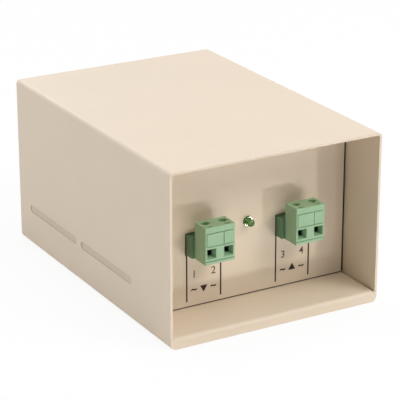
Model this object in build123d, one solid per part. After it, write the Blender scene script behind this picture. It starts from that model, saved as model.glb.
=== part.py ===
from build123d import *
import math
import os

# Outdoor low-voltage supply: a transformer in a folded steel case, with two
# pull-off screw terminals in a hood at the front. All sizes are millimetres.
# +X is the viewer's right, +Y the back and +Z up. The origin is the centre of
# the base, at the height of the table.

# How far a cutting shape runs past a face
past = 1.0

# Case
case_width = 95.0
case_depth = 135.0
case_height = 72.0
sheet = 1.0
top_bend = 1.8
bottom_bend = 2.5
fold_bend = 1.6
hood_depth = 23.2
lip_height = 4.6
return_width = 15.0
side_gap = 0.5
wall_gap = 0.15
seam = 0.15
corner_relief = 1.0

# Long slots low on both sides
slot_height = 3.3
slot_bridge = 4.2
slot_start = 31.4
slot_end = 10.4
slot_level = 17.2
tray_wall_height = 22.0
rear_lip_end = 1.3

# Front and rear panels
panel_edge_gap = 0.85
panel_top_gap = 0.3
panel_floor_gap = 0.5
panel_bend = 1.4
foot_length = 10.0
foot_side_gap = 0.1
bracket_width = 16.0
bracket_height = 11.0

# Screws that hold the cover, in cups drawn up from its returns
screw_size = 3.0
screw_hole_gap = 0.2
thread_gap = 0.05
screw_head_width = 5.5
screw_head_height = 2.0
screw_head_slope = 0.7
screw_tip = 0.36
case_screw_length = 6.0
case_screw_inset = 8.5
clinch_nut_clear = 1.15
cup_radius = 4.6
cup_slope = 0.8
cup_wall = 0.9
cup_lap = 0.1
cross_width = 1.0
cross_length = 3.2
cross_depth = 1.1
clinch_nut_width = 6.3
clinch_nut_height = 2.5
clinch_pilot = 4.2

# Blind rivets through the brackets' feet and the rear panel's foot
rivet_size = 3.2
rivet_hole_gap = 0.05
rivet_head_width = 6.0
rivet_head_height = 0.9
rivet_tail_width = 4.8
rivet_tail_length = 1.8
rivet_slope = 0.6
rivet_inset = 6.0
front_rivet_side = 30.0
rear_rivet_side = 25.0

# Screw terminals: fixed header and pull-off plug
pole_pitch = 7.62
pole_count = 2
terminal_level = 27.2
output_side = -19.8
input_side = 21.6
header_width = 15.6
header_height = 8.55
header_depth = 12.0
header_proud = 4.6
header_side_wall = 1.1
header_floor = 3.0
header_cavity_wall = 0.9
key_width = 1.0
key_height = 0.6
key_back = 1.2
cutout_gap = 0.5
rim_gap = 0.05
plug_width = 13.3
plug_height = 15.3
plug_depth = 8.4
tongue_gap = 0.15
tongue_end_gap = 0.6
pin_size = 1.0
pin_tip = 0.25
pin_reach = 7.0
pin_tail = 2.0

# Clamp of one pole
clamp_back = 3.2
chamber_width = 4.9
chamber_depth = 4.8
cage_gap = 0.15
cage_wall = 0.6
cage_floor = 0.7
cage_window = 4.2
cage_lift = 0.3
cage_head = 1.4
cage_travel = 2.0
clamp_thread = 2.5
clamp_thread_gap = 0.1
clamp_tip = 0.375
clamp_head_width = 3.0
clamp_head_height = 1.5
driver_slot = 0.5
driver_slot_depth = 0.7
ledge_thickness = 1.0
access_width = 3.4
access_bevel = 0.2
entry_outer = 4.1
entry_inner = 3.0
bar_width = 2.6
bar_thickness = 0.8
bar_lift = 1.5
socket_width = 2.4
socket_gap = 0.15
contact_gap = 0.2

# Relief on the plug's front and top
line_depth = 0.5
line_width = 0.3
field_inset = 0.6
field_low = 7.4
field_high = 12.9
foot_line = 1.05
test_slot_length = 2.5
test_slot_width = 0.8
test_slot_back = 1.35
test_slot_depth = 1.5
plug_edge = 0.35

# Indicator lamp
led_side = 0.4
led_level = 36.1
led_width = 3.0
led_height = 4.3
led_seat = 0.3
led_flange_width = 3.9
led_flange = 1.0
led_hole_gap = 0.15
led_leg_pitch = 2.54
led_leg = 0.5

# Terminal board on studs behind the front panel
board_centre = 0.9
board_width = 71.8
board_low = 17.0
board_high = 53.0
board_thickness = 1.6
board_corner = 1.5
stud_inset_side = 3.4
stud_inset_level = 4.0
spacer_width = 5.5
nut_flats = 5.5
nut_height = 2.4
nut_corner = 0.6
stud_extra = 1.0
solder_tail = 1.0
leg_gap = 0.2
output_lead_lift = 4.0
input_lead_lift = 1.8

# Fuse on the back of the board
fuse_length = 20.0
fuse_width = 5.2
fuse_glass = 4.8
fuse_cap = 5.0
fuse_side = 18.0
fuse_level = 45.0
fuse_wall = 0.4
fuse_wire = 0.3
clip_thickness = 0.4
clip_width = 4.6
clip_gap = 0.05
clip_lift = 0.6
clip_past = 0.26

# Resistor and diode that feed the indicator lamp
feed_level = 24.0
resistor_side = -6.0
resistor_width = 2.4
resistor_length = 6.3
diode_side = 7.5
diode_width = 2.7
diode_length = 5.2
axial_span = 10.0
axial_wire = 0.6
axial_slope = 0.45

# Transformer
core_width = 57.0
core_stack = 25.0
transformer_back = 25.0
bobbin_wall = 1.0
bobbin_flange = 1.2
bobbin_core_gap = 0.15
bobbin_window_gap = 0.3
former_round = 0.8
flange_round = 1.0
winding_gap = 0.1
winding_inset = 0.8
strap_thickness = 1.5
strap_bend = 2.0
strap_gap = 0.2
strap_foot = 12.0
strap_inset = 0.5
strap_screw_inset = 5.5
terminal_pin = 0.8
terminal_pin_length = 4.0
terminal_pitch = 10.0
lead_width = 1.6
lead_bend = 6.0
lead_straight = 0.3
lead_sides = 8

# Places worked out from the sizes above
half_width = case_width / 2
front = -case_depth / 2
rear = case_depth / 2
slot_length = (case_depth - slot_start - slot_bridge - slot_end) / 2
tray_side = half_width - sheet - side_gap
wall_side = half_width - sheet - wall_gap
floor_low = lip_height - sheet
panel_front = front + hood_depth
panel_back = panel_front + sheet
panel_side = half_width - sheet - panel_edge_gap
panel_low = lip_height + panel_floor_gap
panel_top = case_height - sheet - panel_top_gap
front_foot_end = panel_front + foot_length
rear_foot_end = rear - foot_length
tray_wall_front = panel_back + corner_relief
tray_wall_rear = rear - fold_bend - corner_relief
foot_side = tray_side - fold_bend - foot_side_gap
header_front = panel_front - header_proud
header_back = header_front + header_depth
header_high = terminal_level + header_height
wire_level = terminal_level + header_height / 2
board_front = header_back
board_back = board_front + board_thickness
fuse_axis = board_back + clip_thickness + clip_lift + fuse_width / 2
led_base = panel_front + led_seat
led_tip = led_base - led_height
plug_back = header_front - rim_gap
plug_front = plug_back - plug_depth
plug_high = terminal_level + plug_height
tongue_end = header_back - header_floor - tongue_end_gap
clamp_place = plug_back - clamp_back
cage_low = wire_level + cage_lift - cage_window / 2 - cage_floor
window_low = cage_low + cage_floor
window_high = window_low + cage_window
cage_high = window_high + cage_head
chamber_low = cage_low - cage_gap
chamber_high = cage_high + cage_travel + cage_gap
head_low = chamber_high + ledge_thickness
bar_low = wire_level + bar_lift
bar_high = bar_low + bar_thickness
socket_low = wire_level - bar_lift
leg_width = core_width / 3
limb_width = core_width / 6
window_height = core_width / 2
core_low = lip_height
core_high = core_low + window_height + 2 * limb_width


def block(x0, x1, y0, y1, z0, z1):
    """Box between three pairs of coordinates."""
    centre = Pos((x0 + x1) / 2, (y0 + y1) / 2, (z0 + z1) / 2)
    return centre * Box(abs(x1 - x0), abs(y1 - y0), abs(z1 - z0))


def rod_x(x0, x1, y, z, width):
    """Round rod along X."""
    return Pos((x0 + x1) / 2, y, z) * Rot(0, 90, 0) * Cylinder(width / 2, x1 - x0)


def rod_y(x, y0, y1, z, width):
    """Round rod along Y."""
    return Pos(x, (y0 + y1) / 2, z) * Rot(90, 0, 0) * Cylinder(width / 2, y1 - y0)


def rod_z(x, y, z0, z1, width):
    """Round rod along Z."""
    return Pos(x, y, (z0 + z1) / 2) * Cylinder(width / 2, z1 - z0)


def along_x(section, x0, x1):
    """Solid of a section drawn in Y and Z, from x0 to x1."""
    plane = Plane(origin=(x0, 0, 0), x_dir=(0, 1, 0), z_dir=(1, 0, 0))
    return extrude(plane * section, amount=x1 - x0)


def along_y(section, y0, y1):
    """Solid of a section drawn in X and Z, from y0 to y1."""
    plane = Plane(origin=(0, y0, 0), x_dir=(1, 0, 0), z_dir=(0, -1, 0))
    return extrude(plane * section, amount=-(y1 - y0))


def folded_section(path, radii, thickness, side):
    """Section of a sheet folded along path, which runs on one of its faces.

    radii are the bend radii on that face. The sheet lies to the left of the
    path where side is 1, and to the right where side is -1.
    """
    normals = []
    for (ax, ay), (bx, by) in zip(path, path[1:]):
        length = math.hypot(bx - ax, by - ay)
        normals.append((-(by - ay) / length * side, (bx - ax) / length * side))
    other = [(path[0][0] + thickness * normals[0][0], path[0][1] + thickness * normals[0][1])]
    other_radii = []
    for index, radius in enumerate(radii):
        before, after = normals[index], normals[index + 1]
        scale = thickness / (1 + before[0] * after[0] + before[1] * after[1])
        corner = path[index + 1]
        shift = (scale * (before[0] + after[0]), scale * (before[1] + after[1]))
        other.append((corner[0] + shift[0], corner[1] + shift[1]))
        turn = (before[0] * after[1] - before[1] * after[0]) * side
        other_radii.append(radius - thickness if turn > 0 else radius + thickness)
    last = path[-1]
    other.append((last[0] + thickness * normals[-1][0], last[1] + thickness * normals[-1][1]))
    outline = FilletPolyline(*path, radius=list(radii))
    inline = FilletPolyline(*other, radius=other_radii)
    start = Line(path[0], other[0])
    end = Line(path[-1], other[-1])
    return make_face([*outline.edges(), *end.edges(), *inline.edges(), *start.edges()])


def solids_of(pieces):
    """One node made of several separate solids."""
    found = []
    for piece in pieces:
        found += piece.solids()
    return Compound(children=found)


def case_outline():
    """Full outer section of the case, as the cover and the front lip share it."""
    upper = Pos(0, case_height / 2) * Rectangle(case_width, case_height)
    top_corners = upper.vertices().group_by(Axis.Y)[-1]
    shaped = fillet(top_corners, top_bend)
    low_corners = shaped.vertices().group_by(Axis.Y)[0]
    return fillet(low_corners, bottom_bend)


def cup_places():
    """Centres of the four screws that hold the cover, clear of both panels' feet."""
    reach = clinch_nut_clear + clinch_nut_width / 2
    rows = (front_foot_end + reach, rear_foot_end - reach)
    side = half_width - case_screw_inset
    return [(sign * side, row) for row in rows for sign in (-1, 1)]


def screw_cup(x, y):
    """Cup drawn up from a return of the cover, from the table to the floor's underside."""
    rise = floor_low - sheet
    foot = cup_radius + cup_slope
    profile = Polyline(
        (screw_size / 2 + screw_hole_gap, rise),
        (cup_radius - cup_wall, rise),
        (foot - cup_wall, 0),
        (foot, 0),
        (foot, sheet),
        (cup_radius, floor_low),
        (screw_size / 2 + screw_hole_gap, floor_low),
        close=True,
    )
    return Pos(x, y, 0) * revolve(Plane.XZ * make_face(profile.edges()), Axis.Z)


def cover():
    """Top, both sides and the returns under them, folded from one sheet."""
    inner = half_width - return_width
    path = [(-inner, 0), (-half_width, 0), (-half_width, case_height)]
    path += [(half_width, case_height), (half_width, 0), (inner, 0)]
    section = folded_section(path, [bottom_bend, top_bend, top_bend, bottom_bend], sheet, -1)
    body = along_y(section, front, rear)
    for index in range(2):
        centre = front + slot_start + slot_length / 2 + index * (slot_length + slot_bridge)
        slot = Pos(centre, slot_level) * SlotOverall(slot_length, slot_height)
        body -= along_x(slot, -half_width - past, half_width + past)
    notch = front + sheet + seam
    body -= block(-half_width - past, half_width + past, front - past, notch, -past, lip_height)
    for x, y in cup_places():
        body -= rod_z(x, y, -past, sheet + past, 2 * (cup_radius + cup_slope - cup_lap))
        body += screw_cup(x, y)
    return body


def base_tray():
    """Floor with a turned-down lip at each end and a wall up each side."""
    path = [(front, 0), (front, lip_height), (rear, lip_height), (rear, rear_lip_end)]
    body = along_x(folded_section(path, [fold_bend, fold_bend], sheet, -1), -tray_side, tray_side)
    walls = [(-wall_side, tray_wall_height), (-wall_side, floor_low)]
    walls += [(wall_side, floor_low), (wall_side, tray_wall_height)]
    fold = along_y(folded_section(walls, [fold_bend, fold_bend], sheet, 1), tray_wall_front, tray_wall_rear)
    for side in (-1, 1):
        strip = (side * (wall_side - fold_bend), side * half_width)
        body -= block(*strip, panel_back, rear - fold_bend, floor_low - past, lip_height + past)
        ear = (side * tray_side, side * half_width)
        body += block(*ear, front, front + sheet, 0, lip_height - seam)
    body += fold
    body &= along_y(case_outline(), front, rear)
    for side in (-1, 1):
        corner = (side * tray_side, rear - sheet / 2, rear_lip_end)
        edge = body.edges().filter_by(Axis.Y).sort_by_distance(corner)[0]
        body = fillet(edge, bottom_bend - sheet)
    for x, y in cup_places():
        body -= rod_z(x, y, 0, lip_height + past, clinch_pilot)
    for x, y in rivet_places():
        body -= rod_z(x, y, 0, lip_height + past, rivet_size + 2 * rivet_hole_gap)
    for x, y in strap_places():
        body -= rod_z(x, y, 0, lip_height + past, screw_size + 2 * screw_hole_gap)
    return body


def terminal_sides():
    """Middle of the output terminal, then of the input terminal."""
    return (output_side, input_side)


def pole_sides(middle):
    """Middles of a terminal's poles."""
    first = middle - pole_pitch * (pole_count - 1) / 2
    return [first + index * pole_pitch for index in range(pole_count)]


def rivet_places():
    """Centres of the rivets through the front brackets' feet, then through the rear panel's foot."""
    front_row = panel_front + rivet_inset
    rear_row = rear - rivet_inset
    places = [(side * front_rivet_side, front_row) for side in (-1, 1)]
    return places + [(side * rear_rivet_side, rear_row) for side in (-1, 1)]


def front_panel():
    """Flat panel set back in the hood, with a thin gap to the floor and to both sides."""
    body = block(-panel_side, panel_side, panel_front, panel_back, panel_low, panel_top)
    for middle in terminal_sides():
        reach = header_width / 2 + cutout_gap
        low, high = terminal_level - cutout_gap, header_high + cutout_gap
        body -= block(middle - reach, middle + reach, panel_front - past, panel_back + past, low, high)
    hole = led_flange_width + 2 * led_hole_gap
    return body - rod_y(led_side, panel_front - past, panel_back + past, led_level, hole)


def panel_bracket(x):
    """Angle bracket spot-welded to the back of the front panel, its foot on the floor."""
    path = [(front_foot_end, lip_height), (panel_back, lip_height), (panel_back, lip_height + bracket_height)]
    section = folded_section(path, [panel_bend], sheet, -1)
    return along_x(section, x - bracket_width / 2, x + bracket_width / 2)


def panel_brackets():
    """Both brackets of the front panel, drilled for their rivets."""
    brackets = []
    for x, y in rivet_places()[:2]:
        hole = rod_z(x, y, lip_height - past, lip_height + sheet + past, rivet_size + 2 * rivet_hole_gap)
        brackets.append(panel_bracket(x) - hole)
    return solids_of(brackets)


def rear_panel():
    """Plain panel flush with the back, with its foot and its top edge bent forward."""
    path = [(rear_foot_end, panel_top), (rear, panel_top), (rear, lip_height), (rear_foot_end, lip_height)]
    body = along_x(folded_section(path, [fold_bend, fold_bend], sheet, -1), -tray_side, tray_side)
    for side in (-1, 1):
        strip = (side * foot_side, side * half_width)
        body -= block(*strip, rear_foot_end - past, rear - sheet, lip_height, lip_height + sheet + past)
    for x, y in rivet_places():
        body -= rod_z(x, y, lip_height - past, lip_height + sheet + past, rivet_size + 2 * rivet_hole_gap)
    return body


def rivet(x, y):
    """Blind rivet with its head inside the case and its tail under the floor."""
    seat = lip_height + sheet
    head = rod_z(x, y, seat, seat + rivet_head_height, rivet_head_width)
    head = chamfer(head.edges().filter_by(GeomType.CIRCLE).sort_by(Axis.Z)[-1], rivet_slope)
    shank = rod_z(x, y, floor_low - rivet_tail_length, seat + rivet_head_height, rivet_size)
    tail = rod_z(x, y, floor_low - rivet_tail_length, floor_low, rivet_tail_width)
    tail = chamfer(tail.edges().filter_by(GeomType.CIRCLE).sort_by(Axis.Z)[0], rivet_slope)
    return head + shank + tail


def panel_screw(shank_length):
    """Pan-head screw with a cross recess, its head below and its shank up from z = 0."""
    head = rod_z(0, 0, -screw_head_height, 0, screw_head_width)
    head = chamfer(head.edges().filter_by(GeomType.CIRCLE).sort_by(Axis.Z)[0], screw_head_slope)
    low = -screw_head_height
    reach, wide = cross_length / 2, cross_width / 2
    for turn in (0, 90):
        bar = block(-reach, reach, -wide, wide, low, low + cross_depth)
        head -= Rot(0, 0, turn) * bar
    shank = rod_z(0, 0, 0, shank_length, screw_size)
    shank = chamfer(shank.edges().filter_by(GeomType.CIRCLE).sort_by(Axis.Z)[-1], screw_tip)
    return head + shank


def clinch_nut(x, y):
    """Round nut pressed into the floor from above."""
    body = rod_z(x, y, lip_height, lip_height + clinch_nut_height, clinch_nut_width)
    body += rod_z(x, y, floor_low, lip_height, clinch_pilot)
    return body - rod_z(x, y, floor_low, case_height, screw_size + 2 * thread_gap)


def hex_nut(flats, height, bore):
    """Hexagon nut standing on z = 0, with both faces of its corners turned off."""
    body = extrude(RegularPolygon(flats / math.sqrt(3), 6), amount=height)
    edge = flats / math.sqrt(3)
    cone = Pos(0, 0, height / 2) * Cylinder(edge, height)
    cone = chamfer(cone.edges().filter_by(GeomType.CIRCLE), (edge - flats / 2) * nut_corner)
    return (body & cone) - rod_z(0, 0, -height, 2 * height, bore)


def stud_places():
    """Centres of the four studs on the back of the front panel."""
    reach = board_width / 2 - stud_inset_side
    levels = (board_low + stud_inset_level, board_high - stud_inset_level)
    return [(board_centre + side * reach, level) for level in levels for side in (-1, 1)]


def panel_stud(x, z):
    """Threaded stud welded to the back of the front panel."""
    end = board_back + nut_height + stud_extra
    return rod_y(x, panel_back, end, z, screw_size)


def board_spacer(x, z):
    """Round spacer between the front panel and the board."""
    body = rod_y(x, panel_back, board_front, z, spacer_width)
    return body - rod_y(x, panel_back - past, board_back, z, screw_size + 2 * screw_hole_gap)


def board_nut(x, z):
    """Nut on a stud, against the back of the board."""
    nut = hex_nut(nut_flats, nut_height, screw_size + 2 * thread_gap)
    return Pos(x, board_back, z) * Rot(-90, 0, 0) * nut


def lead_places():
    """Solder points of the four leads on the back of the board."""
    output = [(side, header_high + output_lead_lift) for side in pole_sides(output_side)]
    supply = [(side, header_high + input_lead_lift) for side in pole_sides(input_side)]
    return output, supply


def feed_spans():
    """Middles of the resistor and the diode."""
    return (resistor_side, diode_side)


def connector_board():
    """Circuit board that carries both headers, the lamp, the fuse and the lamp's feed."""
    body = block(
        board_centre - board_width / 2, board_centre + board_width / 2,
        board_front, board_back, board_low, board_high,
    )
    body = fillet(body.edges().filter_by(Axis.Y), board_corner)
    y0, y1 = board_front - past, board_back + past
    for x, z in stud_places():
        body -= rod_y(x, y0, y1, z, screw_size + 2 * screw_hole_gap)
    for middle in terminal_sides():
        for x in pole_sides(middle):
            body -= rod_y(x, y0, y1, wire_level, pin_size * math.sqrt(2) + 2 * leg_gap)
    for side in (-1, 1):
        leg = led_side + side * led_leg_pitch / 2
        body -= rod_y(leg, y0, y1, led_level, led_leg * math.sqrt(2) + 2 * leg_gap)
        for middle in feed_spans():
            body -= rod_y(middle + side * axial_span / 2, y0, y1, feed_level, axial_wire + 2 * leg_gap)
    return body


def header(middle):
    """Fixed half of a terminal: a box open to the front, with ribs that key the plug."""
    half = header_width / 2
    body = block(middle - half, middle + half, header_front, header_back, terminal_level, header_high)
    inner = half - header_side_wall
    cavity_end = header_back - header_floor
    low, high = terminal_level + header_cavity_wall, header_high - header_cavity_wall
    body -= block(middle - inner, middle + inner, header_front - past, cavity_end, low, high)
    for x in pole_sides(middle):
        reach = pin_size / 2
        bottom, top = wire_level - reach, wire_level + reach
        body -= block(x - reach, x + reach, header_front, header_back + past, bottom, top)
        key = key_width / 2
        body += block(x - key, x + key, header_front + key_back, cavity_end, high - key_height, high)
    return body


def header_pin(x):
    """Square pin from the header's cavity through its floor and the board."""
    reach = pin_size / 2
    start = header_back - header_floor - pin_reach
    end = board_back + pin_tail
    body = block(x - reach, x + reach, start, end, wire_level - reach, wire_level + reach)
    tip = body.faces().sort_by(Axis.Y)[0]
    return chamfer(tip.edges(), pin_tip)


def square_at(x, y, size):
    """Square face across the wire entry of a pole, at a distance from the front."""
    plane = Plane(origin=(x, y, wire_level), x_dir=(1, 0, 0), z_dir=(0, -1, 0))
    return (plane * Rectangle(size, size)).face()


def pole_cuts(x):
    """Rooms in the plug for one pole: clamp, screw, wire entry and contact."""
    half = chamber_width / 2
    y0, y1 = clamp_place - chamber_depth / 2, clamp_place + chamber_depth / 2
    room = block(x - half, x + half, y0, y1, chamber_low, chamber_high)
    shank = rod_z(x, clamp_place, chamber_high, head_low, clamp_thread + 4 * clamp_thread_gap)
    access = rod_z(x, clamp_place, head_low, plug_high + past, access_width)
    rim = Pos(x, clamp_place, plug_high - access_bevel / 2)
    rim = rim * Cone(access_width / 2, access_width / 2 + access_bevel, access_bevel)
    funnel = loft([square_at(x, plug_front, entry_outer), square_at(x, y0, entry_inner)])
    bar = bar_width / 2 + contact_gap
    low, high = socket_low - contact_gap, bar_high + contact_gap
    way = block(x - bar, x + bar, y1 - past, tongue_end + past, low, high)
    test = test_slot_length / 2
    slot_y = plug_front + test_slot_back
    slot = test_slot_width / 2
    low = plug_high - test_slot_depth
    slit = block(x - test, x + test, slot_y - slot, slot_y + slot, low, plug_high + past)
    return [room, shank, access, rim, funnel, way, slit]


def front_lines(middle):
    """Shallow lines that outline a field above each wire entry, and the line along the foot."""
    cuts = []
    left = middle - plug_width / 2
    y0, y1 = plug_front - line_depth, plug_front + line_depth
    for index in range(pole_count):
        x0 = left + field_inset + index * pole_pitch
        x1 = min(x0 + pole_pitch, middle + plug_width / 2 - field_inset)
        low, high = terminal_level + field_low, terminal_level + field_high
        cuts.append(block(x0, x0 + line_width, y0, y1, low, high))
        cuts.append(block(x0, x1 - line_width, y0, y1, high - line_width, high))
        cuts.append(block(x0, x1, y0, y1, low - line_width, low))
    reach = plug_width / 2 + past
    low = terminal_level + foot_line
    cuts.append(block(middle - reach, middle + reach, y0, y1, low, low + line_width))
    return cuts


def plug(middle):
    """Pull-off half of a terminal: a block outside the header and a tongue in it."""
    half = plug_width / 2
    body = block(middle - half, middle + half, plug_front, plug_back, terminal_level, plug_high)
    upright = body.edges().filter_by(Axis.Z)
    across = body.edges().filter_by(Axis.X).group_by(Axis.Z)[-1]
    body = fillet(upright + across, plug_edge)
    inner = header_width / 2 - header_side_wall - tongue_gap
    wall = header_cavity_wall + tongue_gap
    low, high = terminal_level + wall, header_high - wall
    body += block(middle - inner, middle + inner, plug_back - past, tongue_end, low, high)
    for x in pole_sides(middle):
        key = key_width / 2 + tongue_gap
        body -= block(x - key, x + key, plug_back, tongue_end + past, high - key_height, high + past)
        for cut in pole_cuts(x):
            body -= cut
    for cut in front_lines(middle):
        body -= cut
    return body


def plug_contact(x):
    """Contact of one pole: a bar under the screw and a square socket on the pin."""
    half = bar_width / 2
    front_end = clamp_place - chamber_depth / 2 + contact_gap
    socket_front = clamp_place + chamber_depth / 2 + contact_gap
    bar = block(x - half, x + half, front_end, tongue_end - contact_gap, bar_low, bar_high)
    wide = socket_width / 2
    tube = block(x - wide, x + wide, socket_front, tongue_end - contact_gap, socket_low, bar_low)
    reach = pin_size / 2 + socket_gap
    bore = block(x - reach, x + reach, front_end, tongue_end + past, wire_level - reach, wire_level + reach)
    return bar + tube - bore


def clamp_cage(x):
    """Cage that rises on the screw and lifts the wire against the contact's bar."""
    half = chamber_width / 2 - cage_gap
    deep = chamber_depth / 2 - cage_gap
    body = block(x - half, x + half, clamp_place - deep, clamp_place + deep, cage_low, cage_high)
    inner = half - cage_wall
    y0, y1 = clamp_place - deep - past, clamp_place + deep + past
    body -= block(x - inner, x + inner, y0, y1, window_low, window_high)
    bore = clamp_thread + 2 * clamp_thread_gap
    return body - rod_z(x, clamp_place, window_high - past, cage_high + past, bore)


def clamp_screw(x):
    """Slotted screw that is held in the plug and turns in the cage."""
    top = head_low + clamp_head_height
    head = rod_z(x, clamp_place, head_low + clamp_thread_gap, top, clamp_head_width)
    y0, y1 = clamp_place - clamp_head_width, clamp_place + clamp_head_width
    slot = driver_slot / 2
    head -= block(x - slot, x + slot, y0, y1, top - driver_slot_depth, top)
    tip = bar_high + clamp_thread_gap
    shank = rod_z(x, clamp_place, tip, head_low + clamp_head_height / 2, clamp_thread)
    shank = chamfer(shank.edges().filter_by(GeomType.CIRCLE).sort_by(Axis.Z)[0], clamp_tip)
    return head + shank


def led_lens():
    """Lamp body: a flange in the mouth of the panel's hole and a round-nosed barrel."""
    nose = led_tip + led_width / 2
    barrel = rod_y(led_side, nose, led_base, led_level, led_width)
    flange = rod_y(led_side, led_base - led_flange, led_base, led_level, led_flange_width)
    ball = Pos(led_side, nose, led_level) * Sphere(led_width / 2)
    return barrel + flange + ball


def led_legs():
    """The two legs of the lamp, soldered through the board."""
    reach = led_leg / 2
    low, high = led_level - reach, led_level + reach
    legs = []
    for side in (-1, 1):
        x = led_side + side * led_leg_pitch / 2
        legs.append(block(x - reach, x + reach, led_base, board_back + solder_tail, low, high))
    return solids_of(legs)


def fuse_tube():
    """Glass tube of the fuse."""
    x0, x1 = fuse_side - fuse_length / 2 + fuse_wall, fuse_side + fuse_length / 2 - fuse_wall
    body = rod_x(x0, x1, fuse_axis, fuse_level, fuse_glass)
    return body - rod_x(x0 - past, x1 + past, fuse_axis, fuse_level, fuse_glass - 2 * fuse_wall)


def fuse_element():
    """Wire inside the fuse, from cap to cap."""
    reach = fuse_length / 2 - fuse_wall
    return rod_x(fuse_side - reach, fuse_side + reach, fuse_axis, fuse_level, fuse_wire)


def fuse_caps():
    """Both end caps of the fuse."""
    caps = []
    for side in (-1, 1):
        outer = fuse_side + side * fuse_length / 2
        inner = outer - side * fuse_cap
        low, high = min(outer, inner), max(outer, inner)
        cap = rod_x(low, high, fuse_axis, fuse_level, fuse_width)
        seat = outer - side * fuse_wall
        low, high = min(inner - side * past, seat), max(inner - side * past, seat)
        caps.append(cap - rod_x(low, high, fuse_axis, fuse_level, fuse_glass))
    return solids_of(caps)


def fuse_clips():
    """Two spring clips on the board that hold the fuse by its caps."""
    clips = []
    grip = fuse_width / 2 + clip_gap
    outside = grip + clip_thickness
    for side in (-1, 1):
        x = fuse_side + side * (fuse_length - fuse_cap) / 2
        x0, x1 = x - clip_width / 2, x + clip_width / 2
        back = fuse_axis + fuse_width / 2 + clip_past
        body = block(x0, x1, board_back, back, fuse_level - outside, fuse_level + outside)
        seat = board_back + clip_thickness
        body -= block(x0 - past, x1 + past, seat, back + past, fuse_level - grip, fuse_level + grip)
        clips.append(body)
    return solids_of(clips)


def axial_part(middle, width, length):
    """Resistor or diode lying on the back of the board, with its legs bent through it."""
    y = board_back + width / 2 + leg_gap
    body = rod_x(middle - length / 2, middle + length / 2, y, feed_level, width)
    body = chamfer(body.edges().filter_by(GeomType.CIRCLE), axial_slope)
    reach = axial_span / 2
    body += rod_x(middle - reach, middle + reach, y, feed_level, axial_wire)
    for side in (-1, 1):
        body += rod_y(middle + side * reach, board_front - solder_tail, y, feed_level, axial_wire)
        body += Pos(middle + side * reach, y, feed_level) * Sphere(axial_wire / 2)
    return body


def strap_side():
    """Inside face of the strap's upright."""
    return core_width / 2 + strap_gap


def strap_places():
    """Centres of the two screws through the strap's feet."""
    reach = strap_side() + strap_foot - strap_screw_inset
    return [(side * reach, transformer_back) for side in (-1, 1)]


def core_legs():
    """Stack of E plates, its three legs up."""
    y0, y1 = transformer_back - core_stack / 2, transformer_back + core_stack / 2
    reach = core_width / 2
    body = block(-reach, reach, y0, y1, core_low, core_low + limb_width)
    top = core_high - limb_width
    outer = reach - limb_width / 2
    for centre, width in ((-outer, limb_width), (0, leg_width), (outer, limb_width)):
        body += block(centre - width / 2, centre + width / 2, y0, y1, core_low, top)
    return body


def core_yoke():
    """Stack of I plates that closes the core on top."""
    y0, y1 = transformer_back - core_stack / 2, transformer_back + core_stack / 2
    return block(-core_width / 2, core_width / 2, y0, y1, core_high - limb_width, core_high)


def bobbin_levels():
    """Underside of each of the bobbin's three flanges."""
    low = core_low + limb_width + bobbin_window_gap
    high = core_high - limb_width - bobbin_window_gap - bobbin_flange
    return (low, (low + high) / 2, high)


def coil_section(growth, radius):
    """Rounded section round the middle leg, grown by a distance on all sides."""
    section = Rectangle(leg_width + 2 * growth, core_stack + 2 * growth)
    if radius > 0:
        section = fillet(section.vertices(), radius)
    return Pos(0, transformer_back) * section


def bobbin():
    """Moulded former with a room for each winding."""
    levels = bobbin_levels()
    reach = limb_width - bobbin_window_gap
    wall = bobbin_core_gap + bobbin_wall
    height = levels[2] + bobbin_flange - levels[0]
    body = Pos(0, 0, levels[0]) * extrude(coil_section(wall, former_round), amount=height)
    for level in levels:
        body += Pos(0, 0, level) * extrude(coil_section(reach, flange_round), amount=bobbin_flange)
    hole = extrude(coil_section(bobbin_core_gap, 0), amount=case_height)
    return body - hole


def winding(index):
    """Coil of enamelled wire in one of the bobbin's two rooms."""
    levels = bobbin_levels()
    low = levels[index] + bobbin_flange + winding_gap
    high = levels[index + 1] - winding_gap
    inner = bobbin_core_gap + bobbin_wall + winding_gap
    outer = limb_width - bobbin_window_gap - winding_inset
    ring = coil_section(outer, outer - inner) - coil_section(inner, former_round)
    return Pos(0, 0, low) * extrude(ring, amount=high - low)


def terminal_pins():
    """Pins on the front of the bobbin, two for each winding."""
    levels = bobbin_levels()
    edge = transformer_back - core_stack / 2 - limb_width + bobbin_window_gap
    pins = []
    for level in (levels[0], levels[2]):
        z = level + bobbin_flange / 2
        for side in (-1, 1):
            pins.append(rod_y(side * terminal_pitch / 2, edge - terminal_pin_length, edge, z, terminal_pin))
    return solids_of(pins)


def strap():
    """Steel strap over the core, with a foot on each side."""
    side = strap_side()
    foot = side + strap_foot
    low = lip_height
    path = [(-foot, low), (-side, low), (-side, core_high + strap_gap)]
    path += [(side, core_high + strap_gap), (side, low), (foot, low)]
    inside = strap_bend - strap_thickness
    section = folded_section(path, [strap_bend, inside, inside, strap_bend], strap_thickness, 1)
    half = core_stack / 2 - strap_inset
    body = along_y(section, transformer_back - half, transformer_back + half)
    for x, y in strap_places():
        body -= rod_z(x, y, low - past, low + strap_thickness + past, screw_size + 2 * screw_hole_gap)
    return body


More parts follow.
